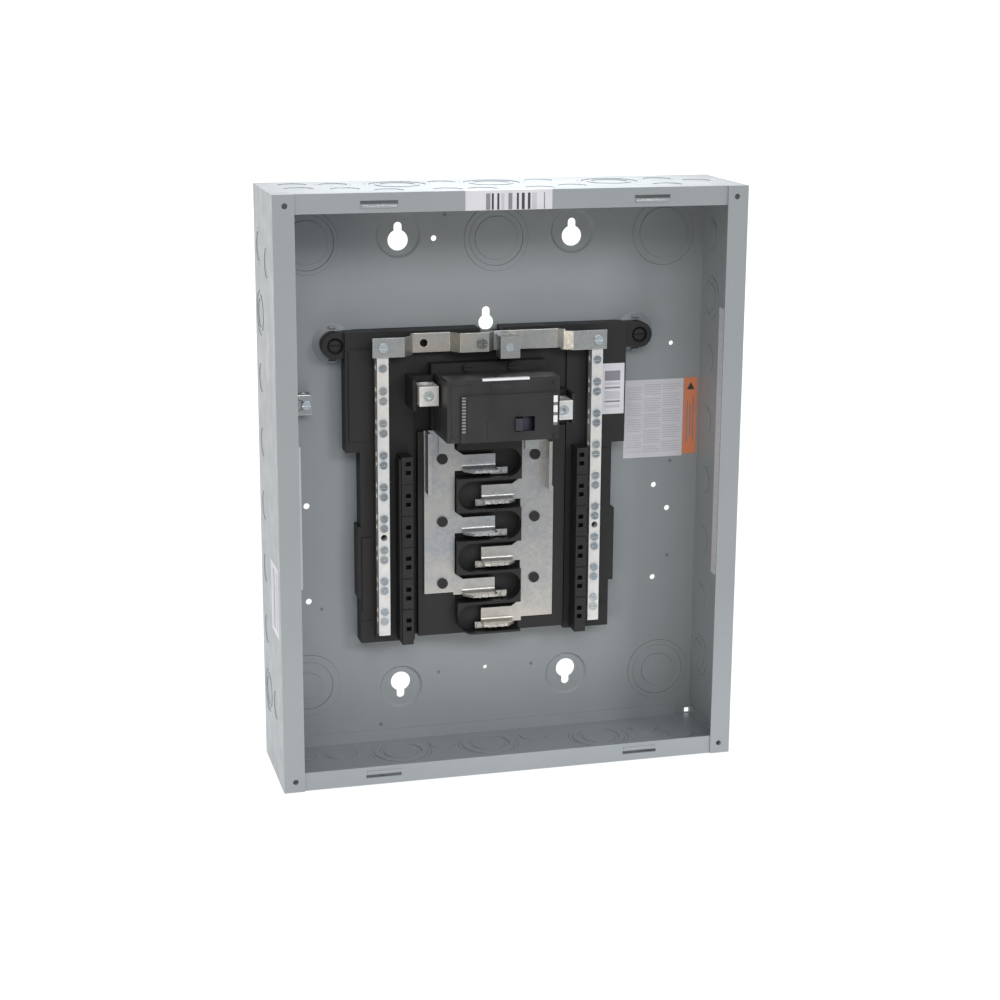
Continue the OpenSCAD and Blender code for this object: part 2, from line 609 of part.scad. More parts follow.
module handle_pivot_pin() color(zinc) rod_z(handle_x, handle_y, pin_r, brk_z[0] + 0.1, pole_mid + 0.9);
module contact_arm_pin() color(zinc) rod_z(arm_x, arm_y, pin_r, brk_z[0] + 0.1, brk_z[1] - 0.1);

// A moving contact arm pointing along +X, closed; the caller turns it open.
module contact_arm(z) {
  difference() {
    union() {
      translate([0, 0, z - 6]) cylinder(r = 4, h = 12);
      slab(0, arm_len, -1.5, 1.5, z - 4, z + 4);
      translate([arm_len - 3.5, 0, z]) rotate([-90, 0, 0]) cylinder(r = 3, h = contact_y - arm_y - 3.6);
    }
    translate([0, 0, z - 7]) cylinder(r = pin_r + pin_clear, h = 14);
  }
}

module upper_contact_arm() color([0.72, 0.45, 0.3])
  translate([arm_x, arm_y, 0]) rotate([0, 0, arm_swing]) mirror([1, 0, 0]) contact_arm(pole_z[1]);
module lower_contact_arm() color([0.72, 0.45, 0.3])
  translate([arm_x, arm_y, 0]) rotate([0, 0, -arm_swing]) contact_arm(pole_z[0]);

// A fixed contact: a button on a plate that leads out of the case to the back of the line lug.
module fixed_contact(x_button, x_out, z_button, z0, z1) {
  slab(min(x_button * 0.8, x_out), max(x_button * 0.8, x_out), lug_y[1], lug_y[1] + 2, z0, z1);
  rod_y(x_button, z_button, 3, contact_y - 3.2, lug_y[1] + 0.1);
}

module upper_fixed_contact() color([0.75, 0.6, 0.4])
  fixed_contact(3.5 - arm_len, lug_boxes[0][0], pole_z[1], 291, 302);
module lower_fixed_contact() color([0.75, 0.6, 0.4])
  fixed_contact(arm_len - 3.5, lug_boxes[1][1], pole_z[0], 273.5, 283.5);

// Arc plates beyond the arm tips.
module arc_chutes() color("gray")
  for (i = [0 : 4]) {
    slab(-45.6, -31, case_front + 1 + i * 3, case_front + 2 + i * 3, pole_mid + 2, 305);
    slab(31, 37.2, case_front + 1 + i * 3, case_front + 2 + i * 3, 267.2, pole_mid - 2);
  }

module bimetal_trips() color("darkgoldenrod") {
  slab(8, 36, 9, 10, 291, 301);
  slab(34.8, 36, 2, 9.1, 291, 301);
  slab(-44, -8, 9, 10, 268, 278);
  slab(-44, -42.8, 2, 9.1, 268, 278);
}

module breaker_cover_rivets() color(zinc)
  for (x = [-44.5, 36.5], z = [265.4, 306.6]) {
    face_y = x > 0 && z < 270 ? brk_front : brk_shoulder;
    rod_y(x, z, 1.05, face_y - 0.1, case_back);
    rod_y(x, z, 1.7, face_y - 0.8, face_y);
  }

module breaker_hold_down_screws() color(zinc)
  for (x = [-22, 14]) front_screw(x, 312.5, 15.6, 3, 2.4, 1.6, 28);

module breaker_marking_strips() color(paper) {
  // The top strip folds over the upper edge of the cover.
  slab(-21, 16, brk_shoulder - label_t, brk_shoulder, 310, brk_cover_top + label_t);
  slab(-21, 16, brk_shoulder - 0.1, brk_shoulder + 3.4, brk_cover_top, brk_cover_top + label_t);
  slab(-37.4, -34.6, brk_front - label_t, brk_front, 270.5, 298.4);
  slab(34.6, 37.8, brk_front - label_t, brk_front, 274, 297);
}

// ---------- Line lugs ----------
// Fences that stand on the platforms, at the outer side of each lug.
module lug_fences() color(moulding) {
  slab(-69, -66.4, -2, lug_platform_y - 0.1, 284, 308);
  slab(57.8, 60.4, -2, lug_platform_y - 0.1, 268, 292);
}

module line_lug(b) color(tin)
  difference() {
    slab(b[0], b[1], lug_y[0], lug_y[1], b[2], b[3]);
    rod_z((b[0] + b[1]) / 2, lug_bore_y, lug_bore_r, b[2] - 1, b[3] + 1);
    rod_y((b[0] + b[1]) / 2, (b[2] + b[3]) / 2, lug_screw_r + screw_clear, lug_y[0] - 1, lug_bore_y);
  }

module lug_pad(b) color(zinc)
  rod_y((b[0] + b[1]) / 2, (b[2] + b[3]) / 2, lug_screw_r - 0.2, lug_pad_y[0], lug_pad_y[1]);

module lug_screw(b) color(zinc)
  difference() {
    rod_y((b[0] + b[1]) / 2, (b[2] + b[3]) / 2, lug_screw_r, lug_screw_y[0], lug_screw_y[1]);
    translate([(b[0] + b[1]) / 2, lug_screw_y[0] - 1, (b[2] + b[3]) / 2]) rotate([-90, 0, 0])
      cylinder(r = 2.3, h = 4, $fn = 6);
  }

// Load straps run from the breaker down behind it to the bus bars.
module load_strap(x0, x1, z_in) color(tin) {
  slab(x0, x1, case_back - 2.4, bus_y, z_in, z_in + 2.4);
  slab(x0, x1, case_back, bus_y, rivet_zs[0] + 4.6, z_in + 0.1);
}

// ---------- Labels ----------
module flange_label() color(paper) slab(-39, 27, end_y - label_t, end_y, box_h - end_flange, box_h);
module wing_label() color(paper) slab(90.5, 110, wing_y - label_t, wing_y, 268, 309);
module caution_label() color(paper) slab(116, 166.5, yi - label_t, yi, 226.5, 291);
module caution_stripe() color([0.8, 0.45, 0.3]) slab(167, 178.6, yi - label_t, yi, 228, 291.5);
module directory_label() color(paper) slab(xi - label_t, xi, -42, 2, 138, 355);
module back_wall_label() color(paper) slab(-174, -149, yi - label_t, yi, 134, 250);
module outside_label() color(paper) slab(-hw - label_t / 2, -hw, -38, -4, 120, 175);

enclosure_wrap();
top_end_wall();
bottom_end_wall();
top_knockouts();
bottom_knockouts();
left_knockouts();
right_knockouts();
back_knockouts();
ground_lug();
ground_lug_screw();
interior_base();
breaker_rail(-1);  // left_breaker_rail
breaker_rail(1);  // right_breaker_rail
bus_support();
left_bus_bar();
right_bus_bar();
bus_rivets();
stab_rivets();
neutral_bar(neutral_x[0]);  // left_neutral_bar
neutral_bar(neutral_x[1]);  // right_neutral_bar
terminal_screws(neutral_x[0]);  // left_terminal_screws
terminal_screws(neutral_x[1]);  // right_terminal_screws
neutral_cross_strap();
strap_screws();
bonding_screw();
neutral_lug();
neutral_lug_pad();
neutral_lug_screw();
interior_mounting_screws();
breaker_case();
breaker_cover();
breaker_handle();
handle_pivot_pin();
contact_arm_pin();
upper_contact_arm();
lower_contact_arm();
upper_fixed_contact();
lower_fixed_contact();
arc_chutes();
bimetal_trips();
breaker_cover_rivets();
breaker_hold_down_screws();
breaker_marking_strips();
lug_fences();
line_lug(lug_boxes[0]);  // left_line_lug
line_lug(lug_boxes[1]);  // right_line_lug
lug_pad(lug_boxes[0]);  // left_lug_pad
lug_pad(lug_boxes[1]);  // right_lug_pad
lug_screw(lug_boxes[0]);  // left_lug_screw
lug_screw(lug_boxes[1]);  // right_lug_screw
load_strap(-44, -32, 267);  // left_load_strap
load_strap(26, 37, 289);  // right_load_strap
flange_label();
wing_label();
caution_label();
caution_stripe();
directory_label();
back_wall_label();
outside_label();
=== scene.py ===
import json
import math
import bpy
import bmesh
from mathutils import Matrix, Vector


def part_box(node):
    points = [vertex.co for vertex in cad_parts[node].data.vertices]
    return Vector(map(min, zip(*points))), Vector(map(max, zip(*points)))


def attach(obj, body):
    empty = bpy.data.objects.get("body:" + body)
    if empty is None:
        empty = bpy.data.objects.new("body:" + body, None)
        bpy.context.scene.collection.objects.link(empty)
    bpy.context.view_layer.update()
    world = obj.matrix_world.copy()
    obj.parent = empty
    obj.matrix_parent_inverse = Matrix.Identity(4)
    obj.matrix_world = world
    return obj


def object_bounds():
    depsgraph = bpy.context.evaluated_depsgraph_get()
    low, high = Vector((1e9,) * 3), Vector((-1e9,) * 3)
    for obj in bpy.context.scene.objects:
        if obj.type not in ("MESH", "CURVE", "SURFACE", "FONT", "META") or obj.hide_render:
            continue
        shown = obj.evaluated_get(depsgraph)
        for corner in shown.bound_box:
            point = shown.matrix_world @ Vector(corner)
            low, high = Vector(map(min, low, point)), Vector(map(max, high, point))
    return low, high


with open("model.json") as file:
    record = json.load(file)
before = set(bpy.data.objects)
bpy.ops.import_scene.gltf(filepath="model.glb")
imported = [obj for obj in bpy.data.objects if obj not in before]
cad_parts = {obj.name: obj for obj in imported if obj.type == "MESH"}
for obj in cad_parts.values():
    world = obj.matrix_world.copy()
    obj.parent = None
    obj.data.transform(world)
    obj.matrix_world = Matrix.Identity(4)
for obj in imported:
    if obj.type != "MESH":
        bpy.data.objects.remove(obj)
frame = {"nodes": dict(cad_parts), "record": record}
cad_low, cad_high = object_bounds()
MM = 0.001

# ---------------------------------------------------------------- camera
# Place in metres and angles in degrees, fitted to the enclosure's corners in the photo.
CAMERA_AT = (-0.3969, -1.4829, 0.6006)
CAMERA_YAW = 15.01
CAMERA_PITCH = -14.30
CAMERA_ROLL = 0.36
LENS_MM = 72.82
SENSOR_MM = 36.0
CAMERA_NEAR = 0.05
CAMERA_FAR = 20.0


def make_camera():
    yaw, pitch, roll = (math.radians(a) for a in (CAMERA_YAW, CAMERA_PITCH, CAMERA_ROLL))
    forward = Vector((math.sin(yaw) * math.cos(pitch), math.cos(yaw) * math.cos(pitch),
                      math.sin(pitch)))
    right = Vector((math.cos(yaw), -math.sin(yaw), 0.0))
    up = right.cross(forward)
    rolled_right = right * math.cos(roll) + up * math.sin(roll)
    rolled_up = up * math.cos(roll) - right * math.sin(roll)
    data = bpy.data.cameras.new("camera")
    data.lens = LENS_MM
    data.sensor_width = SENSOR_MM
    data.clip_start = CAMERA_NEAR
    data.clip_end = CAMERA_FAR
    camera = bpy.data.objects.new("camera", data)
    axes = Matrix((rolled_right, rolled_up, -forward)).transposed()
    camera.matrix_world = Matrix.Translation(CAMERA_AT) @ axes.to_4x4()
    bpy.context.scene.collection.objects.link(camera)
    bpy.context.scene.camera = camera


make_camera()


# ---------------------------------------------------------------- material graphs
# Places of a Mix node's colour sockets, which share their names with its other sockets.
MIX_COLOR_A, MIX_COLOR_B, MIX_COLOR_OUT = 6, 7, 2
BEVEL_SAMPLES = 4


class Graph:
    """A material whose nodes are made one call at a time. Sizes in it are in metres."""

    def __init__(self, name, metallic=0.0, specular=0.5):
        self.material = bpy.data.materials.new(name)
        self.material.use_nodes = True
        self.tree = self.material.node_tree
        self.shader = self.tree.nodes["Principled BSDF"]
        self.shader.inputs["Metallic"].default_value = metallic
        self.shader.inputs["Specular IOR Level"].default_value = specular
        self.place = self.tree.nodes.new("ShaderNodeTexCoord").outputs["Object"]

    def put(self, socket, value):
        """Links a socket to the given one, or sets its value."""
        if isinstance(value, bpy.types.NodeSocket):
            self.tree.links.new(value, socket)
        elif isinstance(value, tuple) and len(value) == 3 and len(socket.default_value) == 4:
            socket.default_value = (*value, 1.0)
        else:
            socket.default_value = value

    def node(self, kind, out, **inputs):
        made = self.tree.nodes.new(kind)
        for key, value in inputs.items():
            self.put(made.inputs[key], value)
        return made.outputs[out]

    def noise(self, per_metre, detail=3.0, stretch=(1, 1, 1)):
        scale = tuple(per_metre * s for s in stretch)
        where = self.node("ShaderNodeMapping", "Vector", Vector=self.place, Scale=scale)
        return self.node("ShaderNodeTexNoise", "Fac", Vector=where, Scale=1.0, Detail=detail)

    def cells(self, per_metre):
        """One random level for each crystal of a spangled plating."""
        color = self.node("ShaderNodeTexVoronoi", "Color", Vector=self.place, Scale=per_metre)
        return self.node("ShaderNodeSeparateColor", "Red", Color=color)

    def axes(self):
        """The place's X, Y and Z sockets by name."""
        split = self.tree.nodes.new("ShaderNodeSeparateXYZ")
        self.put(split.inputs[0], self.place)
        return split.outputs

    def spread(self, value, low, high, from_low=0.3, from_high=0.7):
        """Maps from_low..from_high to low..high. Noise mostly lies between 0.3 and 0.7."""
        made = self.tree.nodes.new("ShaderNodeMapRange")
        made.inputs["From Min"].default_value = from_low
        made.inputs["From Max"].default_value = from_high
        made.inputs["To Min"].default_value = low
        made.inputs["To Max"].default_value = high
        self.put(made.inputs["Value"], value)
        return made.outputs["Result"]

    def blend(self, factor, first, second):
        made = self.tree.nodes.new("ShaderNodeMix")
        made.data_type = "RGBA"
        self.put(made.inputs["Factor"], factor)
        self.put(made.inputs[MIX_COLOR_A], first)
        self.put(made.inputs[MIX_COLOR_B], second)
        return made.outputs[MIX_COLOR_OUT]

    def math(self, operation, first, second=0.0):
        made = self.tree.nodes.new("ShaderNodeMath")
        made.operation = operation
        self.put(made.inputs[0], first)
        self.put(made.inputs[1], second)
        return made.outputs[0]

    def edges(self, radius, strength):
        """0 on flat faces, up to the given strength along outer and inner edges: the mask for
        painted edge highlights.
        """
        soft = self.tree.nodes.new("ShaderNodeBevel")
        soft.samples = BEVEL_SAMPLES
        soft.inputs["Radius"].default_value = radius
        sharp = self.tree.nodes.new("ShaderNodeNewGeometry").outputs["Normal"]
        product = self.tree.nodes.new("ShaderNodeVectorMath")
        product.operation = "DOT_PRODUCT"
        self.put(product.inputs[0], soft.outputs["Normal"])
        self.put(product.inputs[1], sharp)
        bent = self.spread(product.outputs["Value"], 1.0, 0.0, from_low=0.80, from_high=0.99)
        return self.math("MULTIPLY", bent, strength)

    def bump(self, height, strength, distance):
        made = self.node("ShaderNodeBump", "Normal", Height=height, Strength=strength,
                         Distance=distance)
        self.put(self.shader.inputs["Normal"], made)

    def finish(self, color, roughness):
        self.put(self.shader.inputs["Base Color"], color)
        self.put(self.shader.inputs["Roughness"], roughness)
        return self.material


def shade(color, factor):
    return tuple(min(1.0, c * factor) for c in color)


def paint(name, color):
    """Satin powder coat: orange peel, faint cloudiness, thin bright edges as a painted highlight.
    """
    g = Graph(name, specular=0.45)
    cloud = g.noise(per_metre=9, detail=4.0)
    grain = g.noise(per_metre=2600, detail=2.0)
    peel = g.noise(per_metre=700, detail=2.0)
    gloss = g.noise(per_metre=60, detail=4.0)
    body = g.blend(g.spread(cloud, 0, 1), shade(color, 0.95), shade(color, 1.05))
    body = g.blend(g.spread(grain, 0, 0.25), body, shade(color, 0.8))
    # Painted highlight: the paint turns lighter along outer and inner edges.
    body = g.blend(g.edges(radius=0.0007, strength=0.45), body, shade(color, 1.5))
    relief = g.math("ADD", peel, g.math("MULTIPLY", grain, 0.4))
    g.bump(relief, strength=0.25, distance=0.00012)
    return g.finish(body, g.spread(gloss, 0.30, 0.44))


def moulding(name, color, roughs, grain_per_metre=1900):
    """Moulded thermoset: fine spark texture, flow marks, and lighter edges that are partly rubbed
    wear and partly a painted highlight.
    """
    g = Graph(name, specular=0.4)
    grain = g.noise(grain_per_metre)
    flow = g.noise(per_metre=38, detail=5.0, stretch=(1, 1, 0.25))
    body = g.blend(g.spread(flow, 0, 1), shade(color, 0.8), shade(color, 1.25))
    # Lighter along outer and inner edges: partly rubbed wear, partly a painted highlight.
    body = g.blend(g.edges(radius=0.0006, strength=0.25), body, shade(color, 2.2))
    g.bump(grain, strength=0.3, distance=0.00010)
    return g.finish(body, g.spread(flow, *roughs))


def plate(name, cool, warm, metallic, roughs, streak=(0.12, 1, 1), warm_foot=None):
    """Plated metal: spangle, drawing marks along streak, a warm cast in places, and near-white
    edges as a painted highlight.

    warm_foot gives two heights: below the first the cast is full, above the second it is
    half as strong as without warm_foot.
    """
    g = Graph(name, metallic=metallic)
    mottle = g.noise(per_metre=150, detail=5.0)
    lines = g.noise(per_metre=1500, detail=2.0, stretch=streak)
    patches = g.noise(per_metre=22, detail=2.0)
    cast = g.spread(patches, 0, 1, from_low=0.42, from_high=0.62)
    if warm_foot:
        low_part = g.spread(g.axes()["Z"], 1, 0, *warm_foot)
        cast = g.math("MAXIMUM", g.math("MULTIPLY", cast, 0.5), low_part)
    tone = g.blend(cast, cool, warm)
    tone = g.blend(g.spread(mottle, 0, 0.45), tone, shade(cool, 0.8))
    tone = g.blend(g.spread(g.cells(per_metre=420), 0, 0.2, 0, 1), tone, shade(warm, 1.2))
    # Painted highlight: near-white along outer and inner edges.
    tone = g.blend(g.edges(radius=0.0005, strength=0.6), tone, (0.95, 0.94, 0.92))
    relief = g.math("ADD", lines, g.math("MULTIPLY", mottle, 0.6))
    g.bump(relief, strength=0.22, distance=0.00008)
    uneven = g.math("ADD", lines, mottle)
    return g.finish(tone, g.spread(uneven, *roughs, from_low=0.7, from_high=1.3))


def film(name, color):
    """Printed film or paper: faint fibres and a slightly uneven gloss."""
    g = Graph(name, specular=0.35)
    fibres = g.noise(per_metre=900, detail=4.0)
    cloud = g.noise(per_metre=55)
    gloss = g.noise(per_metre=200, detail=2.0)
    body = g.blend(g.spread(cloud, 0, 1), shade(color, 0.94), shade(color, 1.03))
    body = g.blend(g.spread(fibres, 0, 0.2), body, shade(color, 0.82))
    g.bump(fibres, strength=0.15, distance=0.00005)
    return g.finish(body, g.spread(gloss, 0.4, 0.6))


# The breaker's left and right marking strips lie further out than this, to either side.
SIDE_STRIPS_BEYOND = 0.03
DOT_PITCH = 0.0024
MARK_PITCH = 0.0078


def marking_strips(name, color):
    """White strips on the breaker cover: the left one is dim and dotted, the right one marked."""
    g = Graph(name, specular=0.35)
    across, up = g.axes()["X"], g.axes()["Z"]
    fibres = g.noise(per_metre=900, detail=4.0)
    gloss = g.noise(per_metre=200, detail=2.0)
    plain = g.blend(g.spread(fibres, 0, 0.25), color, shade(color, 0.8))
    dots = g.math("SINE", g.math("MULTIPLY", up, 2 * math.pi / DOT_PITCH))
    marks = g.math("SINE", g.math("MULTIPLY", up, 2 * math.pi / MARK_PITCH))
    dotted = g.blend(g.spread(dots, 0, 1, -0.2, 0.4), shade(color, 0.05), shade(color, 0.34))
    marked = g.blend(g.spread(marks, 0, 1, 0.45, 0.6), plain, shade(color, 0.22))
    body = g.blend(g.math("LESS_THAN", across, -SIDE_STRIPS_BEYOND), plain, dotted)
    body = g.blend(g.math("GREATER_THAN", across, SIDE_STRIPS_BEYOND), body, marked)
    return g.finish(body, g.spread(gloss, 0.4, 0.6))


PAINT = (0.298, 0.326, 0.345)
BLACK = (0.0145, 0.0145, 0.0155)
SLOT_MATERIALS = {
    "enclosure_paint": paint("enclosure_paint_coat", PAINT),
    "black_moulding": moulding("black_moulding_plastic", BLACK, (0.42, 0.6)),
    "breaker_moulding": moulding("breaker_moulding_plastic", (0.026, 0.026, 0.028),
                                 (0.34, 0.5), grain_per_metre=1500),
    "handle_moulding": moulding("handle_moulding_plastic", (0.045, 0.043, 0.06), (0.25, 0.38)),
    "tin_plate": plate("tin_plate_metal", (0.43, 0.46, 0.48), (0.58, 0.54, 0.47),
                       metallic=0.85, roughs=(0.24, 0.4)),
    "aluminium_bar": plate("aluminium_bar_metal", (0.72, 0.73, 0.74), (0.78, 0.76, 0.73),
                           metallic=0.55, roughs=(0.38, 0.55), streak=(1, 1, 0.1)),
    "zinc_screws": plate("zinc_screws_metal", (0.60, 0.68, 0.74), (0.70, 0.74, 0.74),
                         metallic=0.9, roughs=(0.22, 0.38)),
    "contact_copper": plate("contact_copper_metal", (0.72, 0.40, 0.25), (0.80, 0.52, 0.36),
                            metallic=1.0, roughs=(0.25, 0.42)),
    "label_paper": film("label_paper_film", (0.66, 0.66, 0.71)),
    "orange_film": film("orange_film_print", (0.72, 0.25, 0.13)),
}

# Nodes whose finish differs a little from the rest of their slot.
NODE_MATERIALS = {
    # The two bus bars are one metal, toned apart to how bright each looks: the right bar's
    # slightly darker, less blue tone is painted shade.
    "left_bus_bar": plate("left_bus_metal", (0.40, 0.43, 0.47), (0.64, 0.59, 0.51),
                          metallic=0.8, roughs=(0.26, 0.42), warm_foot=(0.118, 0.150)),
    "right_bus_bar": plate("right_bus_metal", (0.40, 0.42, 0.44), (0.62, 0.58, 0.51),
                           metallic=0.8, roughs=(0.26, 0.42), warm_foot=(0.100, 0.135)),
    "bonding_screw": plate("dark_screw_metal", (0.16, 0.18, 0.19), (0.22, 0.23, 0.22),
                           metallic=0.8, roughs=(0.3, 0.45)),
    "breaker_marking_strips": marking_strips("marking_strips_film", (0.80, 0.80, 0.84)),
    "left_terminal_screws": plate("terminal_screws_metal", (0.30, 0.36, 0.41),
                                  (0.46, 0.50, 0.52), metallic=0.9, roughs=(0.2, 0.36)),
}
NODE_MATERIALS["right_terminal_screws"] = NODE_MATERIALS["left_terminal_screws"]


def dress_nodes():
    for row in frame["record"]["subparts"]:
        node = frame["nodes"][row["node"]]
        node.data.materials.clear()
        finish = NODE_MATERIALS.get(row["node"], SLOT_MATERIALS[row["material_slot"]])
        node.data.materials.append(finish)


dress_nodes()

# The width of the rounding in millimetres, and the nodes whose edges have it.
ROUNDED = {
    0.45: ["interior_base", "bus_support", "left_breaker_rail", "right_breaker_rail",
           "breaker_case", "breaker_cover"],
    0.5: ["neutral_lug", "left_line_lug", "right_line_lug", "ground_lug"],
    0.3: ["enclosure_wrap", "top_end_wall", "bottom_end_wall", "left_bus_bar", "right_bus_bar",
          "neutral_cross_strap", "left_neutral_bar", "right_neutral_bar", "breaker_handle"],
    0.15: ["left_terminal_screws", "right_terminal_screws", "strap_screws", "bonding_screw",
           "neutral_lug_screw", "interior_mounting_screws", "breaker_cover_rivets",
           "breaker_hold_down_screws", "ground_lug_screw", "left_lug_screw",
           "right_lug_screw", "bus_rivets", "stab_rivets"],
}
ROUND_ABOVE = math.radians(40)
ROUND_SEGMENTS = 2
WELD_WITHIN = 0.00001


def round_edges():
    for width, names in ROUNDED.items():
        for name in names:
            node = frame["nodes"][name]
            weld = node.modifiers.new("weld", "WELD")
            weld.merge_threshold = WELD_WITHIN
            bevel = node.modifiers.new("rounding", "BEVEL")
            bevel.width = width * MM
            bevel.segments = ROUND_SEGMENTS
            bevel.limit_method = "ANGLE"
            bevel.angle_limit = ROUND_ABOVE
            bevel.use_clamp_overlap = True


round_edges()


# ---------------------------------------------------------------- pieces
def add_piece(name, bm, material):
    """Makes a mesh into a piece that rides on the panel."""
    mesh = bpy.data.meshes.new(name)
    bm.to_mesh(mesh)
    bm.free()
    mesh.materials.append(material)
    piece = bpy.data.objects.new(name, mesh)
    bpy.context.scene.collection.objects.link(piece)
    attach(piece, "panel")


# ---------------------------------------------------------------- grooves and punch marks
# Sizes of the rings are in metres.
# Painted shade: the grooves and punch marks take the enclosure paint at half its tone, for the
# shade that falls in them.
RECESS_SHADE_PAINT = paint("enclosure_paint_recess_shade", shade(PAINT, 0.5))
RING_SEGMENTS = 72
GROOVE_LAP = 0.00004
GROOVE_WIDTH = 0.00035
GROOVE_HALF_DEPTH = 0.00025


def island_boxes(mesh):
    """Low and high corners of each separate body of a mesh."""
    bm = bmesh.new()
    bm.from_mesh(mesh)
    bmesh.ops.remove_doubles(bm, verts=bm.verts, dist=WELD_WITHIN)
    boxes, seen = [], set()
    for start in bm.verts:
        if start in seen:
            continue
        seen.add(start)
        island, waiting = [], [start]
        while waiting:
            vert = waiting.pop()
            island.append(vert.co.copy())
            for link in vert.link_edges:
                other = link.other_vert(vert)
                if other not in seen:
                    seen.add(other)
                    waiting.append(other)
        boxes.append([Vector([pick(co[i] for co in island) for i in range(3)])
                      for pick in (min, max)])
    bm.free()
    return boxes


def add_ring(bm, middle, axis, inner, outer, half_depth):
    """A flat closed ring about the given axis (0, 1 or 2)."""
    u, v = [i for i in range(3) if i != axis]
    section = ((inner, -half_depth), (outer, -half_depth),
               (outer, half_depth), (inner, half_depth))
    loops = []
    for step in range(RING_SEGMENTS):
        angle = 2 * math.pi * step / RING_SEGMENTS
        loop = []
        for radius, depth in section:
            co = Vector(middle)
            co[u] += radius * math.cos(angle)
            co[v] += radius * math.sin(angle)
            co[axis] += depth
            loop.append(bm.verts.new(co))
        loops.append(loop)
    for step, loop in enumerate(loops):
        after = loops[(step + 1) % RING_SEGMENTS]
        for i in range(len(section)):
            j = (i + 1) % len(section)
            bm.faces.new((loop[i], loop[j], after[j], after[i]))


def knockout_grooves(node_name):
    """Closes the slit round each knockout in the middle of the sheet with a ring of paint at half
    tone, a painted shade, so it reads as a groove.
    """
    bm = bmesh.new()
    for low, high in island_boxes(frame["nodes"][node_name].data):
        size = high - low
        axis = min(range(3), key=lambda i: size[i])
        radius = max(size) / 2
        add_ring(bm, (low + high) / 2, axis, radius - GROOVE_LAP,
                 radius + GROOVE_WIDTH + GROOVE_LAP, GROOVE_HALF_DEPTH)
    bmesh.ops.recalc_face_normals(bm, faces=bm.faces)
    name = node_name.replace("knockouts", "knockout_grooves")
    add_piece(name, bm, RECESS_SHADE_PAINT)


for wall in ("top", "bottom", "left", "right", "back"):
    knockout_grooves(f"{wall}_knockouts")

# Small punched marks on the back sheet that don't go through: across and up, in millimetres.
PUNCH_MARKS = ((-134.3, 116.6), (-38.7, 55.8), (39.7, 56.9), (-86.9, 14.9),
               (156.2, 142.1), (156.5, 222.7), (-33.4, 428.2))
# The inner radius, outer radius and half depth of each mark's two rings, in metres.
PUNCH_RINGS = ((0.0002, 0.0007, 0.00004), (0.0008, 0.0014, 0.0001))
BACK_SHEET_FRONT = 43.6


def punch_marks():
    bm = bmesh.new()
    for x, z in PUNCH_MARKS:
        for inner, outer, half_depth in PUNCH_RINGS:
            middle = Vector((x, BACK_SHEET_FRONT, z)) * MM
            add_ring(bm, middle, 1, inner, outer, half_depth)
    bmesh.ops.recalc_face_normals(bm, faces=bm.faces)
    # The marks are flat rings in the half-tone paint: painted shade standing for the punched
    # dimples.
    add_piece("back_punch_marks", bm, RECESS_SHADE_PAINT)


punch_marks()


# ---------------------------------------------------------------- printed detail
# All sizes here are in millimetres. Every mark is a bar, a row or a triangle, and no lettering.
INK = {
    "dark": film("ink_dark", (0.05, 0.05, 0.06)),
    "grey": film("ink_grey", (0.24, 0.24, 0.28)),
    "pale": film("ink_pale", (0.52, 0.52, 0.57)),
}
INK_DEPTH = 0.04


def printed(name, boxes, material):
    """One piece of thin boxes, each given by its low and high corners."""
    bm = bmesh.new()
    for low, high in boxes:
        low, high = Vector(low) * MM, Vector(high) * MM
        made = bmesh.ops.create_cube(bm, size=1.0)
        bmesh.ops.scale(bm, verts=made["verts"], vec=high - low)
        bmesh.ops.translate(bm, verts=made["verts"], vec=(low + high) / 2)
    add_piece(name, bm, material)


def front_ink(y, x0, x1, z0, z1):
    """A block of ink on a label that faces the front."""
    return (x0, y - INK_DEPTH, z0), (x1, y, z1)


def side_ink(x, y0, y1, z0, z1):
    """A block of ink on a label that faces left."""
    return (x - INK_DEPTH, y0, z0), (x, y1, z1)


def node_box(name):
    low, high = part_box(name)
    return Vector(low) / MM, Vector(high) / MM


def rows_down(low, high, margin_top, margin_foot, step):
    """The heights of a label's rows, from the top down."""
    z = high.z - margin_top
    while z > low.z + margin_foot:
        yield z
        z -= step


# Left and right edges of the bars, by ink.
FLANGE_BARS = {
    "grey": ((-23.5, -20.2), (-6.6, -3.6), (20.5, 21.3)),
    "dark": ((-19.2, -17.6), (-15.0, -13.4), (-0.2, 1.4), (3.6, 5.8), (8.2, 10.2)),
    "pale": ((-12.0, -9.6), (11.4, 15.2)),
}
FLANGE_FOOT, FLANGE_TOP = 0.3, 2.2
FOLD_REACH = 4.5
FOLD_THICKNESS = 0.15


def flange_print():
    low, high = node_box("flange_label")
    for ink, spans in FLANGE_BARS.items():
        bars = [front_ink(low.y, x0, x1, low.z + FLANGE_FOOT, high.z - FLANGE_TOP)
                for x0, x1 in spans]
        printed(f"flange_label_bars_{ink}", bars, INK[ink])


def flange_fold():
    """The flange label folds over the top edge of the enclosure."""
    low, high = node_box("flange_label")
    fold = (low.x, low.y, high.z), (high.x, low.y + FOLD_REACH, high.z + FOLD_THICKNESS)
    printed("flange_label_fold", [fold], SLOT_MATERIALS["label_paper"])


# Ink, and how far the row's top and foot lie below the label's top.
WING_ROWS = (("grey", 6, 14), ("pale", 15.5, 17.5), ("grey", 19, 20.5), ("pale", 22.5, 29),
             ("grey", 30.2, 31.6), ("pale", 33.5, 36))
WING_LEFT, WING_RIGHT = 3.2, 3.4


def wing_print():
    low, high = node_box("wing_label")
    for ink in ("grey", "pale"):
        rows = [front_ink(low.y, low.x + WING_LEFT, high.x - WING_RIGHT,
                          high.z - foot, high.z - top)
                for kind, top, foot in WING_ROWS if kind == ink]
        printed(f"wing_label_bars_{ink}", rows, INK[ink])


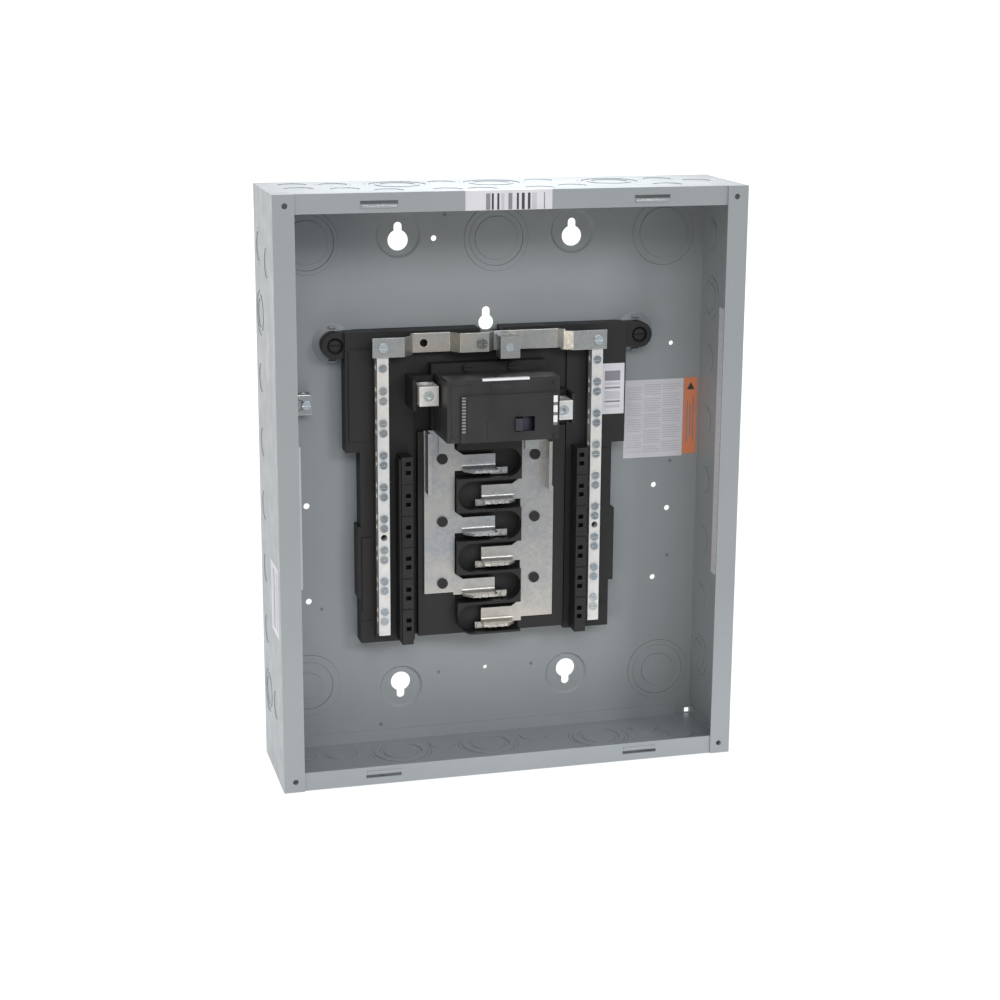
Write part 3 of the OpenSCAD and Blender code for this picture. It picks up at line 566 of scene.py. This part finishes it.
# Left and right edges of the columns, as shares of the label's width.
CAUTION_COLUMNS = ((0.05, 0.30), (0.33, 0.62), (0.65, 0.95))
CAUTION_MARGIN = 4
CAUTION_STEP = 1.9
CAUTION_ROW = 0.7
CAUTION_GAP_EVERY = 7
CAUTION_SHORT_EVERY = 4
CAUTION_SHORT = 0.82


def caution_print():
    low, high = node_box("caution_label")
    width = high.x - low.x
    boxes = []
    heights = rows_down(low, high, CAUTION_MARGIN, CAUTION_MARGIN, CAUTION_STEP)
    for row, z in enumerate(heights):
        for column, (left, right) in enumerate(CAUTION_COLUMNS):
            if (row + 2 * column) % CAUTION_GAP_EVERY == 0:
                continue
            share = 1.0 if (row + column) % CAUTION_SHORT_EVERY else CAUTION_SHORT
            x0 = low.x + left * width
            x1 = x0 + (right - left) * width * share
            boxes.append(front_ink(low.y, x0, x1, z - CAUTION_ROW, z))
    printed("caution_label_rows", boxes, INK["pale"])


TRIANGLE_BELOW_TOP = 4
TRIANGLE_HEIGHT = 6
TRIANGLE_HALF_WIDTH = 3.2
# Distance from the strip's middle, foot and top of each line.
STRIPE_LINES = ((-2.6, 238, 272), (0.0, 243, 268), (2.6, 238, 275))
STRIPE_HALF_LINE = 0.5


def stripe_print():
    low, high = node_box("caution_stripe")
    middle = (low.x + high.x) / 2
    top = high.z - TRIANGLE_BELOW_TOP
    foot = top - TRIANGLE_HEIGHT
    corners = ((middle - TRIANGLE_HALF_WIDTH, foot), (middle + TRIANGLE_HALF_WIDTH, foot),
               (middle, top))
    bm = bmesh.new()
    front = [bm.verts.new((x * MM, (low.y - INK_DEPTH) * MM, z * MM)) for x, z in corners]
    back = [bm.verts.new((x * MM, low.y * MM, z * MM)) for x, z in corners]
    bm.faces.new(front)
    bm.faces.new(back[::-1])
    for i in range(3):
        j = (i + 1) % 3
        bm.faces.new((front[i], back[i], back[j], front[j]))
    bmesh.ops.recalc_face_normals(bm, faces=bm.faces)
    add_piece("caution_stripe_mark", bm, INK["dark"])
    lines = [front_ink(low.y, middle + dx - STRIPE_HALF_LINE, middle + dx + STRIPE_HALF_LINE,
                       z0, z1) for dx, z0, z1 in STRIPE_LINES]
    printed("caution_stripe_lines", lines, INK["grey"])


# Front and rear edges of the two columns.
DIRECTORY_COLUMNS = ((-38, -22), (-18, -2))
DIRECTORY_TOP, DIRECTORY_FOOT = 8, 6
DIRECTORY_STEP = 8.4
DIRECTORY_ROW = 0.5


def directory_print():
    low, high = node_box("directory_label")
    rows = [side_ink(low.x, y0, y1, z - DIRECTORY_ROW, z)
            for z in rows_down(low, high, DIRECTORY_TOP, DIRECTORY_FOOT, DIRECTORY_STEP)
            for y0, y1 in DIRECTORY_COLUMNS]
    printed("directory_label_rows", rows, INK["pale"])


BACK_MARGIN = 4
BACK_SIDE_MARGIN = 2
BACK_STEP = 2.6
BACK_ROW = 0.8
BACK_GAP_EVERY = 6
# Rows end at three lengths in turn, this much apart.
BACK_SHORTENING = 6


def back_wall_print():
    low, high = node_box("back_wall_label")
    rows = []
    for step, z in enumerate(rows_down(low, high, BACK_MARGIN, BACK_MARGIN, BACK_STEP)):
        if step % BACK_GAP_EVERY != BACK_GAP_EVERY - 1:
            right = high.x - BACK_SIDE_MARGIN - BACK_SHORTENING * (step % 3)
            rows.append(front_ink(low.y, low.x + BACK_SIDE_MARGIN, right, z - BACK_ROW, z))
    printed("back_wall_label_rows", rows, INK["pale"])


# Front and rear edges of the upright lines.
OUTSIDE_LINES = ((-34, -33), (-30, -28.6), (-24, -23.4), (-20, -16), (-12, -11))
OUTSIDE_MARGIN = 4


def outside_print():
    low, high = node_box("outside_label")
    lines = [side_ink(low.x, y0, y1, low.z + OUTSIDE_MARGIN, high.z - OUTSIDE_MARGIN)
             for y0, y1 in OUTSIDE_LINES]
    printed("outside_label_lines", lines, INK["grey"])


flange_print()
flange_fold()
wing_print()
caution_print()
stripe_print()
directory_print()
back_wall_print()
outside_print()


# ---------------------------------------------------------------- stage
# The floor is small and glows a little, so that it stays white and throws little light up.
FLOOR_CORNERS = ((-1.5, -0.45), (1.5, -0.45), (1.5, 1.6), (-1.5, 1.6))
FLOOR_BELOW = 0.0002
FLOOR_TONES = ((0.34, 0.34, 0.34), (0.36, 0.36, 0.36))
FLOOR_ROUGHNESS = 0.9
FLOOR_GLOW = 0.78
ROOM_LEVEL = 0.47
BACKDROP_LEVEL = 1.22
# Where the room turns into the backdrop, on the direction's Y.
ROOM_END, BACKDROP_START = -0.5, 0.3
WHITE = (1.0, 1.0, 1.0, 1.0)
PANEL_MIDDLE = (0, 0, 0.23)
PANEL_TOP = (0, 0, 0.45)


def area_light(name, at, toward, size, power, spread=math.pi, color=(1, 1, 1)):
    data = bpy.data.lights.new(name, "AREA")
    data.shape = "RECTANGLE"
    data.size, data.size_y = size
    data.energy = power
    data.spread = spread
    data.color = color
    lamp = bpy.data.objects.new(name, data)
    lamp.location = at
    aim = Vector(toward) - Vector(at)
    lamp.rotation_euler = aim.to_track_quat("-Z", "Y").to_euler()
    bpy.context.scene.collection.objects.link(lamp)


def make_lights():
    area_light("key_soft", at=(-0.25, -2.2, 1.62), toward=PANEL_MIDDLE, size=(1.7, 0.7),
               power=20)
    area_light("side_soft", at=(1.35, -2.2, 1.45), toward=PANEL_MIDDLE, size=(0.7, 0.7),
               power=17)
    area_light("warm_soft", at=(-1.1, -1.2, 0.1), toward=PANEL_MIDDLE, size=(0.5, 0.5),
               power=3, color=(1.0, 0.84, 0.62))
    area_light("top_soft", at=(0.0, 0.0, 1.1), toward=PANEL_TOP, size=(0.3, 0.08),
               power=0.3, spread=math.radians(25))


def make_floor():
    mesh = bpy.data.meshes.new("floor")
    bm = bmesh.new()
    bm.faces.new([bm.verts.new((x, y, 0)) for x, y in FLOOR_CORNERS])
    bm.to_mesh(mesh)
    bm.free()
    floor = bpy.data.objects.new("floor", mesh)
    floor.location.z = cad_low.z - FLOOR_BELOW
    bpy.context.scene.collection.objects.link(floor)
    g = Graph("floor_white", specular=0.0)
    tone = g.blend(g.spread(g.noise(per_metre=0.7, detail=2.0), 0, 1), *FLOOR_TONES)
    g.shader.inputs["Emission Color"].default_value = WHITE
    g.shader.inputs["Emission Strength"].default_value = FLOOR_GLOW
    mesh.materials.append(g.finish(tone, FLOOR_ROUGHNESS))


def studio_world():
    """A bright backdrop behind the panel and a dimmer room in front of it."""
    world = bpy.data.worlds.new("studio")
    world.use_nodes = True
    tree = world.node_tree
    where = tree.nodes.new("ShaderNodeTexCoord").outputs["Generated"]
    split = tree.nodes.new("ShaderNodeSeparateXYZ")
    tree.links.new(where, split.inputs[0])
    level = tree.nodes.new("ShaderNodeMapRange")
    level.interpolation_type = "SMOOTHSTEP"
    level.inputs["From Min"].default_value = ROOM_END
    level.inputs["From Max"].default_value = BACKDROP_START
    level.inputs["To Min"].default_value = ROOM_LEVEL
    level.inputs["To Max"].default_value = BACKDROP_LEVEL
    tree.links.new(split.outputs["Y"], level.inputs["Value"])
    # What the camera sees directly stays white from every side.
    seen = tree.nodes.new("ShaderNodeMath")
    seen.operation = "MAXIMUM"
    camera_ray = tree.nodes.new("ShaderNodeLightPath").outputs["Is Camera Ray"]
    tree.links.new(level.outputs["Result"], seen.inputs[0])
    tree.links.new(camera_ray, seen.inputs[1])
    background = tree.nodes["Background"]
    tree.links.new(seen.outputs["Value"], background.inputs["Strength"])
    background.inputs["Color"].default_value = WHITE
    return world


make_floor()
bpy.context.scene.world = studio_world()
bpy.context.scene.view_settings.view_transform = "Standard"
make_lights()
